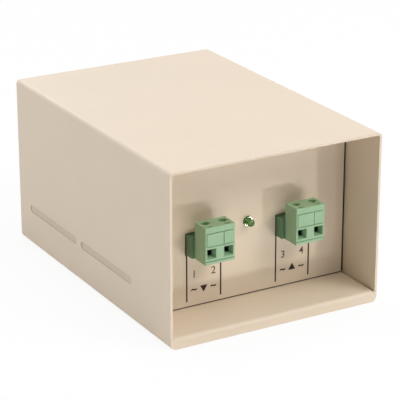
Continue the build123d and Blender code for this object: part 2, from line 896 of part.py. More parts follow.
def leads(index):
    """Two insulated leads from the pins of one winding to the board."""
    levels = bobbin_levels()
    z = levels[2 if index == 0 else 0] + bobbin_flange / 2
    start = transformer_back - core_stack / 2 - limb_width + bobbin_window_gap - terminal_pin_length
    runs = []
    for side, (x, level) in zip((-1, 1), lead_places()[index]):
        pin = side * terminal_pitch / 2
        gap = start - board_back
        path = FilletPolyline(
            (pin, start, z),
            (pin, start - gap * lead_straight, z),
            (x, board_back + gap * lead_straight, level),
            (x, board_back, level),
            radius=lead_bend,
        )
        pen = Plane(origin=path @ 0, z_dir=path % 0) * RegularPolygon(lead_width / 2, lead_sides)
        runs.append(sweep(pen, path=path))
    return solids_of(runs)


def case_pieces():
    """Sheet-metal pieces of the case and what joins them."""
    strap_top = lip_height + strap_thickness
    strap_screw = Rot(180, 0, 0) * panel_screw(strap_thickness + sheet + nut_height)
    nut = hex_nut(nut_flats, nut_height, screw_size + 2 * thread_gap)
    return {
        "cover": cover(),
        "base_tray": base_tray(),
        "front_panel": front_panel(),
        "panel_brackets": panel_brackets(),
        "rear_panel": rear_panel(),
        "panel_rivets": solids_of([rivet(x, y) for x, y in rivet_places()]),
        "case_screws": solids_of([
            Pos(x, y, floor_low - sheet) * panel_screw(case_screw_length) for x, y in cup_places()
        ]),
        "clinch_nuts": solids_of([clinch_nut(x, y) for x, y in cup_places()]),
        "strap_screws": solids_of([Pos(x, y, strap_top) * strap_screw for x, y in strap_places()]),
        "strap_nuts": solids_of([Pos(x, y, floor_low - nut_height) * nut for x, y in strap_places()]),
    }


def board_pieces():
    """Terminal board, its fasteners and what is soldered to it."""
    return {
        "panel_studs": solids_of([panel_stud(x, z) for x, z in stud_places()]),
        "board_spacers": solids_of([board_spacer(x, z) for x, z in stud_places()]),
        "board_nuts": solids_of([board_nut(x, z) for x, z in stud_places()]),
        "connector_board": connector_board(),
        "indicator_led": led_lens(),
        "led_legs": led_legs(),
        "led_resistor": axial_part(resistor_side, resistor_width, resistor_length),
        "led_diode": axial_part(diode_side, diode_width, diode_length),
        "fuse_tube": fuse_tube(),
        "fuse_element": fuse_element(),
        "fuse_caps": fuse_caps(),
        "fuse_clips": fuse_clips(),
    }


def terminal_pieces(name, middle):
    """Header, plug and clamps of one terminal."""
    sides = pole_sides(middle)
    pieces = {
        name + "_header": header(middle),
        name + "_pins": solids_of([header_pin(x) for x in sides]),
        name + "_plug": plug(middle),
        name + "_contacts": solids_of([plug_contact(x) for x in sides]),
    }
    for index, x in enumerate(sides, start=1):
        pieces[name + "_clamp_screw_" + str(index)] = clamp_screw(x)
        pieces[name + "_clamp_cage_" + str(index)] = clamp_cage(x)
    return pieces


def transformer_pieces():
    """Transformer and the leads between it and the board."""
    return {
        "core_legs": core_legs(),
        "core_yoke": core_yoke(),
        "bobbin": bobbin(),
        "primary_winding": winding(0),
        "secondary_winding": winding(1),
        "bobbin_pins": terminal_pins(),
        "core_strap": strap(),
        "secondary_leads": leads(0),
        "primary_leads": leads(1),
    }


def main():
    """Build every piece and write one STEP file for each node."""
    os.makedirs("parts", exist_ok=True)
    pieces = case_pieces()
    pieces.update(board_pieces())
    pieces.update(terminal_pieces("output", output_side))
    pieces.update(terminal_pieces("input", input_side))
    pieces.update(transformer_pieces())
    for name, shape in pieces.items():
        export_step(shape, "parts/" + name + ".step")


main()
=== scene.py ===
import logging
import math
from abc import ABC, abstractmethod
from dataclasses import dataclass
from enum import Enum

import bmesh
import bpy
from mathutils import Matrix, Vector


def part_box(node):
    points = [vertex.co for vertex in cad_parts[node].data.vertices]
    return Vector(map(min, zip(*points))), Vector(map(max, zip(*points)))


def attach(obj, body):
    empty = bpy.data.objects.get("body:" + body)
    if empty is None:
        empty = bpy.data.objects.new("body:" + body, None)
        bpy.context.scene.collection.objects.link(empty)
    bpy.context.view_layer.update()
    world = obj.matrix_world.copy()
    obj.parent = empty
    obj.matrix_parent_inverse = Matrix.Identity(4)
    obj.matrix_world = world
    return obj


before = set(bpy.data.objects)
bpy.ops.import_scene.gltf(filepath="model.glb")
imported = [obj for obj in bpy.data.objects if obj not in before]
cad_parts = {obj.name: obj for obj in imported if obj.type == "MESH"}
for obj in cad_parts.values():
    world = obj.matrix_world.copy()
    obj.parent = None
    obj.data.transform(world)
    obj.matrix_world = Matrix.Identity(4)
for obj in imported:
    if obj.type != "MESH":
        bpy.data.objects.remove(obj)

# Looks of an outdoor low-voltage supply: powder-coated steel case, pull-off screw terminals,
# indicator lamp, printed marks, terminal board and transformer. All lengths are metres.

MM = 0.001
QUARTER_TURN = math.pi / 2
# A face looks along an axis when its normal has this much of it
FACING = 0.9
Colour = tuple[float, float, float]
Point = tuple[float, float, float]
Socket = bpy.types.NodeSocket
log = logging.getLogger("power_supply")


class Axis(Enum):
    """Direction that a grain, a groove, a stack or an edge runs along."""

    X = 0
    Y = 1
    Z = 2


class Pick(Enum):
    """What is selected in edit mode."""

    EDGES = "EDGE"
    FACES = "FACE"


class Flow(Enum):
    """Which way the current goes at a terminal, with the turn of its printed arrow."""

    IN = 0.0
    OUT = math.pi


class Graph:
    """One node material under construction, with short calls for its nodes."""

    # Numbers of the sockets of the colour form of Blender's Mix node
    mix_factor, mix_low, mix_high, mix_result = 0, 6, 7, 2
    # Most of a noise lies in this range, so it is spread from there
    noise_low, noise_high = 0.3, 0.7

    def __init__(self, name: str) -> None:
        """Start an empty material with one Principled shader.

        Args:
            name: Name of the new material.
        """
        self.material = bpy.data.materials.new(name)
        self.material.use_nodes = True
        tree = self.material.node_tree
        self.nodes, self.links = tree.nodes, tree.links
        self.shader = self.nodes["Principled BSDF"]
        self.place = self.node("ShaderNodeTexCoord").outputs["Object"]

    def node(self, kind: str, **values: object) -> bpy.types.Node:
        """Add one node.

        Args:
            kind: Blender's type name of the node.
            values: Properties of the node to set.

        Returns:
            The new node.
        """
        made = self.nodes.new(kind)
        for key, value in values.items():
            setattr(made, key, value)
        return made

    def join(self, source: Socket, target: Socket) -> None:
        """Link one socket to another."""
        self.links.new(source, target)

    def surface(self, **values: object) -> None:
        """Set constants on the shader's own sockets, named with underscores for spaces."""
        for key, value in values.items():
            self.shader.inputs[key.replace("_", " ")].default_value = value

    def noise(self, size: float, detail: float = 2.0, place: Socket | None = None) -> Socket:
        """Cloudy pattern in the piece's own coordinates.

        Args:
            size: Size of its patches.
            detail: Number of finer octaves.
            place: Coordinates to use in place of the piece's own.

        Returns:
            The pattern's factor.
        """
        cloud = self.node("ShaderNodeTexNoise")
        cloud.inputs["Scale"].default_value = 1.0 / size
        cloud.inputs["Detail"].default_value = detail
        self.join(place or self.place, cloud.inputs["Vector"])
        return cloud.outputs["Fac"]

    def streaks(self, along: Axis, length: float, width: float) -> Socket:
        """Fine streaks that run along one axis.

        Args:
            along: Direction of the streaks.
            length: Length of a streak.
            width: Width of a streak.

        Returns:
            The pattern's factor.
        """
        stretch = self.node("ShaderNodeMapping")
        scale = [1.0 / width] * 3
        scale[along.value] = 1.0 / length
        stretch.inputs["Scale"].default_value = scale
        self.join(self.place, stretch.inputs["Vector"])
        return self.noise(1.0, detail=3.0, place=stretch.outputs["Vector"])

    def ridges(self, along: Axis, pitch: float) -> Socket:
        """Even rounded ridges stacked along one axis.

        Args:
            along: Direction of the stack.
            pitch: Distance from ridge to ridge.

        Returns:
            The ridges' height, from 0 to 1.
        """
        split = self.node("ShaderNodeSeparateXYZ")
        self.join(self.place, split.inputs["Vector"])
        turns = self.node("ShaderNodeMath", operation="MULTIPLY")
        turns.inputs[1].default_value = math.pi / pitch
        self.join(split.outputs[along.value], turns.inputs[0])
        wave = self.node("ShaderNodeMath", operation="SINE")
        self.join(turns.outputs[0], wave.inputs[0])
        ridge = self.node("ShaderNodeMath", operation="ABSOLUTE")
        self.join(wave.outputs[0], ridge.inputs[0])
        return ridge.outputs[0]

    def blend(self, pattern: Socket, low: Colour | Socket, high: Colour) -> Socket:
        """Mix two colours by a pattern.

        Args:
            pattern: The pattern.
            low: Colour where it is 0, or the socket that gives it.
            high: Colour where it is 1.

        Returns:
            The mixed colour.
        """
        mix = self.node("ShaderNodeMix", data_type="RGBA")
        self.join(pattern, mix.inputs[self.mix_factor])
        if isinstance(low, Socket):
            self.join(low, mix.inputs[self.mix_low])
        else:
            mix.inputs[self.mix_low].default_value = (*low, 1.0)
        mix.inputs[self.mix_high].default_value = (*high, 1.0)
        return mix.outputs[self.mix_result]

    def paint(self, pattern: Socket, low: Colour | Socket, high: Colour) -> None:
        """Colour the shader between two colours by a pattern."""
        self.join(self.blend(pattern, low, high), self.shader.inputs["Base Color"])

    def roughen(self, pattern: Socket, middle: float, less: float, more: float) -> None:
        """Let a pattern vary the shader's roughness.

        Args:
            pattern: The pattern.
            middle: The finish's roughness.
            less: How far below it the smoothest spots are.
            more: How far above it the roughest spots are.
        """
        spread = self.node("ShaderNodeMapRange")
        spread.inputs["From Min"].default_value = self.noise_low
        spread.inputs["From Max"].default_value = self.noise_high
        spread.inputs["To Min"].default_value = middle - less
        spread.inputs["To Max"].default_value = middle + more
        self.join(pattern, spread.inputs["Value"])
        self.join(spread.outputs["Result"], self.shader.inputs["Roughness"])

    def relief(self, height: Socket, depth: float) -> None:
        """Raise the surface by a pattern, over what is raised already.

        Args:
            height: The pattern.
            depth: How far its highest points stand above its lowest ones.
        """
        bump = self.node("ShaderNodeBump")
        bump.inputs["Distance"].default_value = depth
        self.join(height, bump.inputs["Height"])
        normal = self.shader.inputs["Normal"]
        if normal.is_linked:
            self.join(normal.links[0].from_socket, bump.inputs["Normal"])
        self.join(bump.outputs["Normal"], normal)


def shade(colour: Colour, share: float) -> Colour:
    """A colour made lighter or darker by a share of itself."""
    return (colour[0] * share, colour[1] * share, colour[2] * share)


@dataclass(frozen=True)
class Finish(ABC):
    """A named surface that builds its own material."""

    name: str
    colour: Colour

    def make(self) -> bpy.types.Material:
        """Build the material.

        Returns:
            The material.
        """
        graph = Graph(self.name)
        self.draw(graph)
        return graph.material

    @abstractmethod
    def draw(self, graph: Graph) -> None:
        """Draw the surface into an empty material."""


@dataclass(frozen=True)
class PowderCoat(Finish):
    """Baked powder paint with a fine orange peel."""

    roughness: float = 0.46
    smoother: float = 0.03
    rougher: float = 0.05
    gloss: float = 0.42
    variation: float = 0.025
    cloud_size: float = 22 * MM
    patch_size: float = 2.4 * MM
    peel_size: float = 0.8 * MM
    peel_depth: float = 0.006 * MM

    def draw(self, graph: Graph) -> None:
        """Faintly cloudy paint over its peel.

        Args:
            graph: The material under construction.
        """
        low, high = shade(self.colour, 1 - self.variation), shade(self.colour, 1 + self.variation)
        graph.paint(graph.noise(self.cloud_size, detail=3.0), low, high)
        graph.roughen(graph.noise(self.patch_size), self.roughness, self.smoother, self.rougher)
        graph.surface(Specular_IOR_Level=self.gloss)
        graph.relief(graph.noise(self.peel_size, detail=1.0), self.peel_depth)


@dataclass(frozen=True)
class MouldedPlastic(Finish):
    """Injection-moulded plastic with a fine spark-eroded grain."""

    roughness: float = 0.5
    uneven: float = 0.05
    gloss: float = 0.5
    glow: float = 0.0
    glow_reach: float = 0.6 * MM
    variation: float = 0.04
    cloud_size: float = 2.5 * MM
    patch_size: float = 1.2 * MM
    grain_size: float = 0.12 * MM
    grain_depth: float = 0.003 * MM

    def draw(self, graph: Graph) -> None:
        """Nearly even colour over the mould's grain.

        Args:
            graph: The material under construction.
        """
        low, high = shade(self.colour, 1 - self.variation), shade(self.colour, 1 + self.variation)
        graph.paint(graph.noise(self.cloud_size), low, high)
        graph.roughen(graph.noise(self.patch_size), self.roughness, self.uneven, self.uneven)
        graph.surface(Specular_IOR_Level=self.gloss)
        if self.glow:
            graph.surface(Subsurface_Weight=self.glow, Subsurface_Scale=self.glow_reach)
        graph.relief(graph.noise(self.grain_size), self.grain_depth)


@dataclass(frozen=True)
class BareMetal(Finish):
    """Plated, drawn or rolled metal with its streaks."""

    roughness: float = 0.32
    uneven: float = 0.08
    dull_share: float = 0.9
    bright_share: float = 1.05
    cloud_size: float = 2 * MM
    along: Axis = Axis.Z
    streak_length: float = 4 * MM
    streak_width: float = 0.15 * MM
    streak_depth: float = 0.003 * MM
    thread_pitch: float = 0.0
    thread_depth: float = 0.12 * MM

    def draw(self, graph: Graph) -> None:
        """Streaked metal, with a thread's grooves where it has one.

        Args:
            graph: The material under construction.
        """
        low, high = shade(self.colour, self.dull_share), shade(self.colour, self.bright_share)
        graph.paint(graph.noise(self.cloud_size, detail=3.0), low, high)
        streak = graph.streaks(self.along, self.streak_length, self.streak_width)
        graph.roughen(streak, self.roughness, self.uneven, self.uneven)
        graph.surface(Metallic=1.0)
        graph.relief(streak, self.streak_depth)
        if self.thread_pitch:
            graph.relief(graph.ridges(self.along, self.thread_pitch), self.thread_depth)


@dataclass(frozen=True)
class Stack(Finish):
    """Something wound or stacked in even layers, such as wire turns or core plates."""

    gap_shade_colour: Colour
    along: Axis
    pitch: float
    depth: float
    roughness: float = 0.35
    smoother: float = 0.06
    rougher: float = 0.08
    metallic: float = 0.0
    coat: float = 0.0
    patch_size: float = 1.5 * MM

    def draw(self, graph: Graph) -> None:
        """Layers with painted shade in the gaps between them.

        Args:
            graph: The material under construction.
        """
        layers = graph.ridges(self.along, self.pitch)
        # Painted shade: the gaps between turns and plates are coloured darker
        graph.paint(layers, self.gap_shade_colour, self.colour)
        graph.roughen(graph.noise(self.patch_size), self.roughness, self.smoother, self.rougher)
        graph.surface(Metallic=self.metallic, Coat_Weight=self.coat)
        graph.relief(layers, self.depth)


@dataclass(frozen=True)
class ClearBody(Finish):
    """Clear or tinted body that light goes through, such as a lens or a tube."""

    roughness: float
    refraction: float
    clearness: float
    rim_shade_share: float = 0.92
    rim_spread: float = 0.35
    cloud_share: float = 0.92
    cloud_size: float = 1.5 * MM
    ripple_size: float = 0.8 * MM
    ripple_depth: float = 0.002 * MM

    def draw(self, graph: Graph) -> None:
        """Clear body with painted shade that darkens it towards its rim, where its surface turns
        edge-on to the view.

        Args:
            graph: The material under construction.
        """
        # Painted shade: the colour darkens where the surface turns edge-on to the view
        rim = graph.node("ShaderNodeLayerWeight")
        rim.inputs["Blend"].default_value = self.rim_spread
        cloud = graph.noise(self.cloud_size)
        inside = graph.blend(cloud, shade(self.colour, self.cloud_share), self.colour)
        graph.paint(rim.outputs["Facing"], inside, shade(self.colour, self.rim_shade_share))
        graph.surface(
            Roughness=self.roughness, IOR=self.refraction, Transmission_Weight=self.clearness
        )
        graph.relief(graph.noise(self.ripple_size), self.ripple_depth)


@dataclass(frozen=True)
class Laminate(Finish):
    """Glass-fibre board under a lacquer, its weave just visible."""

    weave: float = 0.5 * MM
    depth: float = 0.006 * MM
    low_share: float = 0.85
    high_share: float = 1.1
    roughness: float = 0.3
    lacquer: float = 0.4
    lacquer_roughness: float = 0.15

    def draw(self, graph: Graph) -> None:
        """Woven threads both ways under the lacquer.

        Args:
            graph: The material under construction.
        """
        cross = graph.node("ShaderNodeMath", operation="MULTIPLY")
        for index, along in enumerate((Axis.X, Axis.Z)):
            graph.join(graph.ridges(along, self.weave), cross.inputs[index])
        low, high = shade(self.colour, self.low_share), shade(self.colour, self.high_share)
        graph.paint(cross.outputs[0], low, high)
        graph.surface(
            Roughness=self.roughness,
            Coat_Weight=self.lacquer,
            Coat_Roughness=self.lacquer_roughness,
        )
        graph.relief(cross.outputs[0], self.depth)


@dataclass(frozen=True)
class PrintInk(Finish):
    """Flat printing ink with slightly broken coverage."""

    roughness: float = 0.55
    gloss: float = 0.12
    thin_share: float = 1.5
    speck_size: float = 0.25 * MM
    grain_size: float = 0.1 * MM
    grain_depth: float = 0.002 * MM

    def draw(self, graph: Graph) -> None:
        """Ink that is lighter where it is thin.

        Args:
            graph: The material under construction.
        """
        specks = graph.noise(self.speck_size, detail=3.0)
        graph.paint(specks, self.colour, shade(self.colour, self.thin_share))
        graph.surface(Roughness=self.roughness, Specular_IOR_Level=self.gloss)
        graph.relief(graph.noise(self.grain_size), self.grain_depth)


class Palette:
    """All finishes of the object, each built once."""

    case = (
        PowderCoat("case_paint", (0.745, 0.628, 0.495)),
        # Slot strips: the case paint made darker as painted shade inside the slots
        PowderCoat(
            "shaded_slot_strip", (0.655, 0.545, 0.425), roughness=0.7, variation=0.12,
            cloud_size=0.5 * MM, patch_size=1.05 * MM, peel_size=0.35 * MM, peel_depth=0.05 * MM,
        ),
        # Panel gaps: a near-black sheet as painted shadow, where the gaps round the front panel lie
        # in shade
        MouldedPlastic("gap_shadow_sheet", (0.040, 0.018, 0.008), roughness=0.8, gloss=0.08),
        BareMetal("rivet_aluminium", (0.72, 0.72, 0.73), roughness=0.4),
        BareMetal("zinc_screw", (0.66, 0.67, 0.68), thread_pitch=0.5 * MM),
        BareMetal("zinc_stud", (0.66, 0.67, 0.68), along=Axis.Y, thread_pitch=0.5 * MM),
        BareMetal("zinc_plate", (0.66, 0.67, 0.68), along=Axis.X, streak_length=9 * MM),
        PrintInk("ink_dark", (0.045, 0.022, 0.022)),
        PrintInk("ink_grey", (0.085, 0.055, 0.042)),
    )
    terminals = (
        MouldedPlastic("header_green", (0.125, 0.235, 0.135), roughness=0.48, gloss=0.35),
        MouldedPlastic("plug_green", (0.310, 0.490, 0.300), roughness=0.5, gloss=0.35),
        BareMetal("clamp_steel", (0.17, 0.19, 0.20), roughness=0.42),
        BareMetal("clamp_thread", (0.16, 0.18, 0.16), roughness=0.40, thread_pitch=0.45 * MM),
        BareMetal("tinned_wire", (0.74, 0.74, 0.72), roughness=0.28, along=Axis.Y),
    )
    board = (
        MouldedPlastic("spacer_nylon", (0.80, 0.78, 0.70), glow=0.3),
        Laminate("board_laminate", (0.035, 0.16, 0.06)),
        BareMetal("solder", (0.70, 0.70, 0.69), roughness=0.22),
        # The lens's rim is darkened to 0.30 of its colour as painted shade
        ClearBody("lamp_green", (0.24, 0.54, 0.15), 0.09, 1.52, 0.68, rim_shade_share=0.30),
        MouldedPlastic("resistor_body", (0.62, 0.47, 0.28), roughness=0.35),
        MouldedPlastic("diode_body", (0.015, 0.015, 0.016), roughness=0.4),
        MouldedPlastic("band_brown", (0.12, 0.04, 0.015), roughness=0.35),
        MouldedPlastic("band_red", (0.50, 0.03, 0.02), roughness=0.35),
        MouldedPlastic("band_gold", (0.55, 0.36, 0.10), roughness=0.3),
        MouldedPlastic("band_grey", (0.55, 0.55, 0.55), roughness=0.35),
        ClearBody("fuse_glass", (0.93, 0.96, 0.95), 0.02, 1.5, 0.95),
        BareMetal("fuse_cap", (0.80, 0.76, 0.66), roughness=0.25, along=Axis.X),
    )
    transformer = (
        Stack(
            "core_plates", (0.16, 0.16, 0.17), (0.05, 0.05, 0.055), Axis.Y,
            pitch=0.5 * MM, depth=0.05 * MM, roughness=0.5, metallic=0.6,
        ),
        MouldedPlastic("bobbin_plastic", (0.03, 0.03, 0.032), roughness=0.45),
        Stack(
            "primary_wire", (0.50, 0.13, 0.04), (0.10, 0.02, 0.01), Axis.Z,
            pitch=0.3 * MM, depth=0.12 * MM, metallic=0.5, coat=0.6,
        ),
        Stack(
            "secondary_wire", (0.66, 0.26, 0.08), (0.14, 0.04, 0.015), Axis.Z,
            pitch=0.9 * MM, depth=0.35 * MM, metallic=0.5, coat=0.6,
        ),
        MouldedPlastic("lead_yellow", (0.70, 0.48, 0.04), roughness=0.42),
        MouldedPlastic("lead_black", (0.02, 0.02, 0.021), roughness=0.42),
    )

    def __init__(self) -> None:
        """Build every material."""
        finishes = self.case + self.terminals + self.board + self.transformer
        self.materials = {finish.name: finish.make() for finish in finishes}

    def dress(self, finish: str, *nodes: str) -> None:
        """Give CAD nodes their finish.

        Args:
            finish: Name of the finish.
            nodes: Names of the nodes.
        """
        for name in nodes:
            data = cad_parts[name].data
            data.materials.clear()
            data.materials.append(self.materials[finish])
            log.info("%s is dressed as %s", name, finish)

    def fit(
        self, piece: bpy.types.Object, name: str, finish: str, slot: str, body: str = "case"
    ) -> None:
        """Put a new piece's place into its mesh, dress it and let it ride.

        Args:
            piece: The modelled piece.
            name: Its name.
            finish: Name of its finish.
            slot: Material slot of the record that its finish belongs to; not used.
            body: CAD body that it rides on.
        """
        Bench.clear()
        piece.select_set(True)
        bpy.context.view_layer.objects.active = piece
        bpy.ops.object.transform_apply(location=True, rotation=True, scale=True)
        piece.name = name
        piece.data.name = name
        piece.data.materials.clear()
        piece.data.materials.append(self.materials[finish])
        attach(piece, body)
        log.info("%s rides on %s", name, body)


class Bench:
    """Modelling steps that the new pieces share."""

    @staticmethod
    def clear() -> None:
        """Deselect everything, so that an operator acts on the new piece alone."""
        bpy.ops.object.select_all(action="DESELECT")

    @staticmethod
    def block(low: Point, high: Point) -> bpy.types.Object:
        """Block between two corners, as a start to be shaped.

        Args:
            low: Its lowest corner.
            high: Its highest corner.

        Returns:
            The block, which is the active object.
        """
        Bench.clear()
        middle = [(a + b) / 2 for a, b in zip(low, high)]
        bpy.ops.mesh.primitive_cube_add(size=1.0, location=middle)
        block = bpy.context.object
        block.scale = [b - a for a, b in zip(low, high)]
        bpy.ops.object.transform_apply(location=False, rotation=False, scale=True)
        return block

    @staticmethod
    def edit(pick: Pick) -> bmesh.types.BMesh:
        """Enter edit mode on the active piece with nothing selected.

        Args:
            pick: What is going to be selected.

        Returns:
            The piece's mesh.
        """
        bpy.ops.object.mode_set(mode="EDIT")
        bpy.ops.mesh.select_all(action="DESELECT")
        bpy.ops.mesh.select_mode(type=pick.value)
        return bmesh.from_edit_mesh(bpy.context.object.data)

    @staticmethod
    def round_all(radius: float, segments: int) -> None:
        """Round every edge of the active piece.

        Args:
            radius: Width of the rounding on each face.
            segments: Number of its steps.
        """
        Bench.edit(Pick.FACES)
        bpy.ops.mesh.select_all(action="SELECT")
        bpy.ops.mesh.bevel(offset=radius, segments=segments)
        bpy.ops.object.mode_set(mode="OBJECT")

    @staticmethod
    def round_along(axis: Axis, radius: float, segments: int) -> None:
        """Round the edges of the active block that run along one axis.

        Args:
            axis: The axis.
            radius: Width of the rounding on each face.
            segments: Number of its steps.
        """
        mesh = Bench.edit(Pick.EDGES)
        for edge in mesh.edges:
            span = edge.verts[0].co - edge.verts[1].co
            edge.select_set(abs(span[axis.value]) > span.length / 2)
        bmesh.update_edit_mesh(bpy.context.object.data)
        bpy.ops.mesh.bevel(offset=radius, segments=segments)
        bpy.ops.object.mode_set(mode="OBJECT")

    @staticmethod
    def join(parts: list[bpy.types.Object]) -> bpy.types.Object:
        """Join several meshes into one.

        Args:
            parts: The meshes, two or more.

        Returns:
            The joined mesh.
        """
        Bench.clear()
        for part in parts:
            part.select_set(True)
        bpy.context.view_layer.objects.active = parts[0]
        bpy.ops.object.join()
        return parts[0]


@dataclass
class Case:
    """Folded and painted steel case, its fasteners, the strips in its side slots, coloured darker
    as painted shade, and a near-black sheet as painted shadow in the gaps round its front panel.
    """

    palette: Palette
    floor_gap: float = 0.5 * MM
    side_gap: float = 0.85 * MM
    # Place and size of the near-black sheet of painted shadow in the panel gaps
    shadow_set_back: float = 0.12 * MM
    shadow_depth: float = 0.6 * MM
    shadow_clear: float = 0.03 * MM
    shadow_rounding: float = 0.1 * MM
    slot_size: tuple[float, float] = (44.5 * MM, 3.3 * MM)
    slot_middles: tuple[float, float] = (53.65 * MM, 102.35 * MM)
    slot_level: float = 17.2 * MM
    strip_set_back: float = 0.3 * MM
    strip_depth: float = 0.8 * MM
    strip_clear: float = 0.04 * MM
    strip_rounding_share: float = 0.48
    strip_rounding_steps: int = 8

    def gap_shadow_run(self, low: Point, high: Point) -> bpy.types.Object:
        """Run of the sheet of painted shadow, with rounded edges.

        Args:
            low: Its lowest corner.
            high: Its highest corner.

        Returns:
            The run's mesh.
        """
        run = Bench.block(low, high)
        Bench.round_all(self.shadow_rounding, segments=2)
        return run

    def gap_shadow(self) -> bpy.types.Object:
        """Near-black sheet of painted shadow that fills the gaps beside and under the front panel.

        Returns:
            The sheet's mesh.
        """
        low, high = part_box("front_panel")
        front = low.y + self.shadow_set_back
        back = front + self.shadow_depth
        clear = self.shadow_clear
        left, right = low.x - self.side_gap, high.x + self.side_gap
        spans = [
            ((low.x, front, low.z - self.floor_gap + clear), (high.x, back, low.z - clear)),
            ((left + clear, front, low.z), (low.x - clear, back, high.z)),
            ((high.x + clear, front, low.z), (right - clear, back, high.z)),
        ]
        return Bench.join([self.gap_shadow_run(start, end) for start, end in spans])

    def shaded_slot_strip(self, side: int, middle: float) -> bpy.types.Object:
        """Strip that fills one long slot, a little below the case's face, coloured darker than the
        case as painted shade in the slot.

        Args:
            side: 1 for the right wall, -1 for the left one.
            middle: Middle of the slot, behind the case's front edge.

        Returns:
            The strip's mesh.
        """
        low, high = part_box("cover")
        length, height = (size - 2 * self.strip_clear for size in self.slot_size)
        face = (high.x if side > 0 else low.x) - side * self.strip_set_back
        left, right = sorted((face, face - side * self.strip_depth))
        y, z = low.y + middle, self.slot_level
        strip = Bench.block(
            (left, y - length / 2, z - height / 2), (right, y + length / 2, z + height / 2)
        )
        Bench.round_along(Axis.X, self.strip_rounding_share * height, self.strip_rounding_steps)
        return strip

    def build(self) -> None:
        """Add the slot strips and the sheet of painted shadow in the panel gaps, and give the
        case's pieces their finishes.
        """
        strips = [self.shaded_slot_strip(side, y) for side in (-1, 1) for y in self.slot_middles]
        self.palette.fit(Bench.join(strips), "slot_strips_painted_shade", "shaded_slot_strip", "case_paint")
        self.palette.fit(self.gap_shadow(), "panel_gap_shadow", "gap_shadow_sheet", "case_paint")
        self.palette.dress("case_paint", "cover", "base_tray", "front_panel", "rear_panel")
        self.palette.dress("rivet_aluminium", "panel_rivets")
        self.palette.dress("zinc_screw", "case_screws", "strap_screws")
        self.palette.dress("zinc_plate", "clinch_nuts", "strap_nuts", "panel_brackets")


@dataclass
class PanelPrint:
    """Ink on the front panel beside and under one terminal."""

    palette: Palette
    name: str
    numbers: tuple[str, str]
    flow: Flow
    line_left: float
    line_right: float
    line_foot: float = 7.0 * MM
    line_width: float = 0.65 * MM
    line_rounding_share: float = 0.3
    ink: float = 0.03 * MM
    reach: float = 4.4 * MM
    number_level: float = 18.3 * MM
    number_weight: float = 0.02 * MM
    sign_level: float = 11.9 * MM
    sign_weight: float = 0.12 * MM
    height: float = 3.1 * MM
    capital_share: float = 0.7
    curve_steps: int = 4
    arrow_share: float = 0.62

    def face(self) -> float:
        """Front face of the panel along Y."""
        low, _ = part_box("front_panel")
        return low.y

    def line(self, x: float) -> bpy.types.Object:
        """Upright line from its foot to the header's underside, with softly rounded ends.

        Args:
            x: Its middle along X.

        Returns:
            The line's mesh.
        """
        header_low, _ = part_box(self.name + "_header")
        half, y = self.line_width / 2, self.face()
        bar = Bench.block((x - half, y - self.ink, self.line_foot), (x + half, y, header_low.z))
        Bench.round_along(Axis.Y, self.line_rounding_share * self.line_width, segments=3)
        return bar

    def word(self, body: str, x: float, level: float, weight: float) -> bpy.types.Object:
        """Number or sign as a thin raised print.

        Args:
            body: The characters.
            x: Their middle along X.
            level: Their middle along Z.
            weight: How far their strokes are thickened.

        Returns:
            The print's mesh.
        """
        Bench.clear()
        bpy.ops.object.text_add(location=(0, 0, 0))
        text = bpy.context.object
        text.data.body = body
        text.data.align_x, text.data.align_y = "CENTER", "CENTER"
        text.data.size = self.height / self.capital_share
        text.data.extrude = self.ink / 2
        text.data.offset = weight
        text.data.resolution_u = self.curve_steps
        text.location = (x, self.face() - self.ink / 2, level)
        text.rotation_euler = (QUARTER_TURN, 0, 0)
        bpy.ops.object.convert(target="MESH")
        made = bpy.context.object
        bpy.ops.object.transform_apply(location=True, rotation=True, scale=True)
        return made

    def arrow(self, x: float) -> bpy.types.Object:
        """Solid arrow head that points the way of the current.

        Args:
            x: Its middle along X.

        Returns:
            The arrow's mesh.
        """
        Bench.clear()
        bpy.ops.mesh.primitive_cylinder_add(
            vertices=3, radius=self.arrow_share * self.height, depth=self.ink,
            location=(x, self.face() - self.ink / 2, self.sign_level),
        )
        head = bpy.context.object
        head.rotation_euler = (QUARTER_TURN, self.flow.value, 0)
        bpy.ops.object.transform_apply(location=False, rotation=True, scale=False)
        return head

    def build(self) -> None:
        """Print the lines, the numbers and the signs of this terminal."""
        centre = (self.line_left + self.line_right) / 2
        sides = (centre - self.reach, centre + self.reach)
        lines = [self.line(x) for x in (self.line_left, self.line_right)]
        numbers = [
            self.word(number, x, self.number_level, self.number_weight)
            for number, x in zip(self.numbers, sides)
        ]
        signs = [self.word("~", x, self.sign_level, self.sign_weight) for x in sides]
        signs.append(self.arrow(centre))
        marks = (
            ("_print_lines", lines, "ink_dark"),
            ("_print_numbers", numbers, "ink_grey"),
            ("_print_signs", signs, "ink_dark"),
        )
        for ending, parts, ink in marks:
            self.palette.fit(Bench.join(parts), self.name + ending, ink, "case_paint")


@dataclass
class Terminal:
    """Fixed header and pull-off plug with its clamps."""

    palette: Palette
    name: str

    def dress(self) -> None:
        """Give the terminal's pieces their finishes."""
        self.palette.dress("header_green", self.name + "_header")
        self.palette.dress("plug_green", self.name + "_plug")
        self.palette.dress("tinned_wire", self.name + "_pins", self.name + "_contacts")
        for pole in ("1", "2"):
            self.palette.dress("clamp_thread", self.name + "_clamp_screw_" + pole)
            self.palette.dress("clamp_steel", self.name + "_clamp_cage_" + pole)


